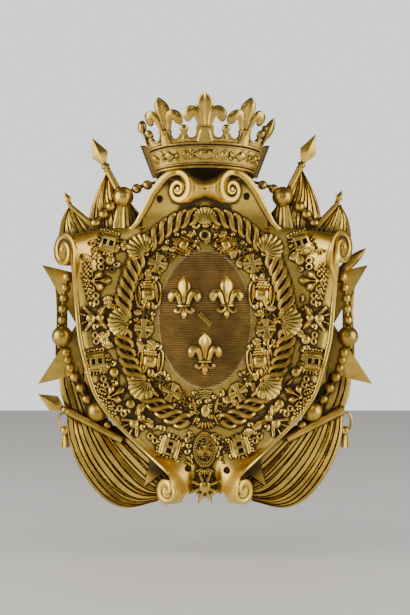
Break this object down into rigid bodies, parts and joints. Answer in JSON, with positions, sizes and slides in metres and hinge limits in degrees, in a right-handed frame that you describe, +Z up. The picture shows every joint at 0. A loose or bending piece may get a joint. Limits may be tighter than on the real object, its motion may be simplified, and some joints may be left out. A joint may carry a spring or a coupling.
{
  "type": "carved coat of arms",
  "caption": "Gilded wooden coat of arms carved in high relief: crowned oval shield with lilies and collars over a cross, flags, spears and beads, for a wall.",
  "frame": {"origin": "middle of the flat back that lies on the wall, on the upright centre line", "axes": "+Z up, front towards -Y, +Y into the wall, +X to the right as seen from the front"},
  "size_m": [0.808, 0.172, 0.9915],
  "materials": {
    "ground_gilt": "gilded wood, dull brown in the recesses",
    "shield_gilt": "gilded wood, burnished on the ridges",
    "crown_gilt": "gilded wood, burnished on the ridges"
  },
  "bodies": {
    "root": {"trophy_ground": "ground_gilt", "cartouche": "shield_gilt", "crown": "crown_gilt"}
  },
  "joints": []
}
